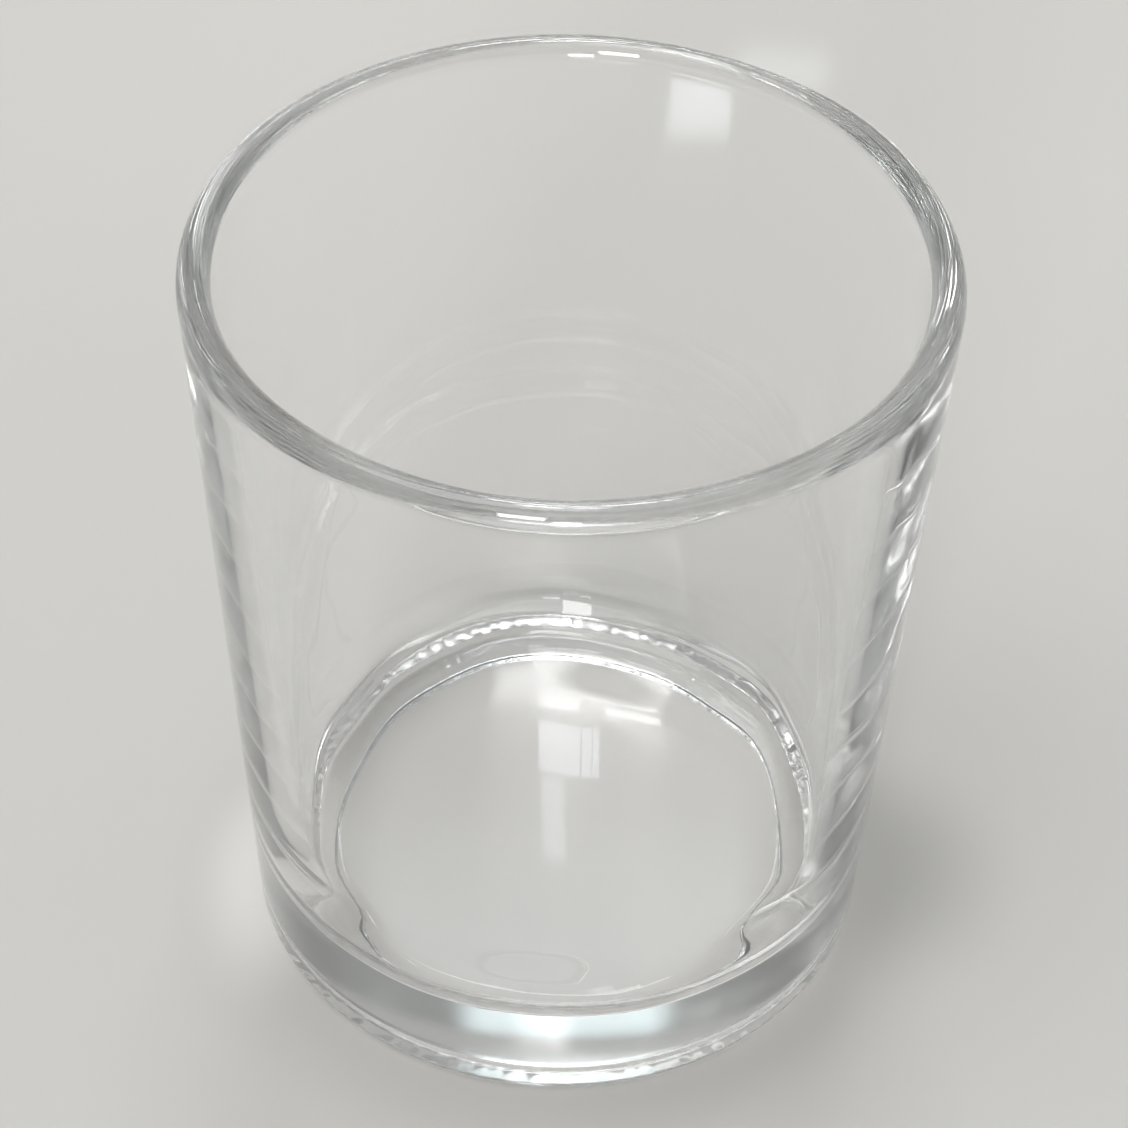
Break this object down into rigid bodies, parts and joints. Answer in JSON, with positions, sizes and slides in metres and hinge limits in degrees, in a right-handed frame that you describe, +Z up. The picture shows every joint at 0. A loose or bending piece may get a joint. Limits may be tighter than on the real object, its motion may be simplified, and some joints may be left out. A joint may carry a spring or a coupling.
{
  "type": "empty candle jar",
  "caption": "Clear pressed-glass candle jar: slightly tapered round wall, rounded lip, thick flat floor and a very shallow flat punt inside its standing ring.",
  "frame": {"origin": "centre of the standing ring, on the surface that the jar stands on", "axes": "+Z up along the jar's axis, out of its mouth"},
  "size_m": [0.07, 0.07, 0.08],
  "materials": {
    "clear_glass": "clear soda-lime glass, fire-polished lip, smooth pressed walls with faint mould waviness"
  },
  "bodies": {
    "root": {"glass_jar": "clear_glass"}
  },
  "joints": []
}
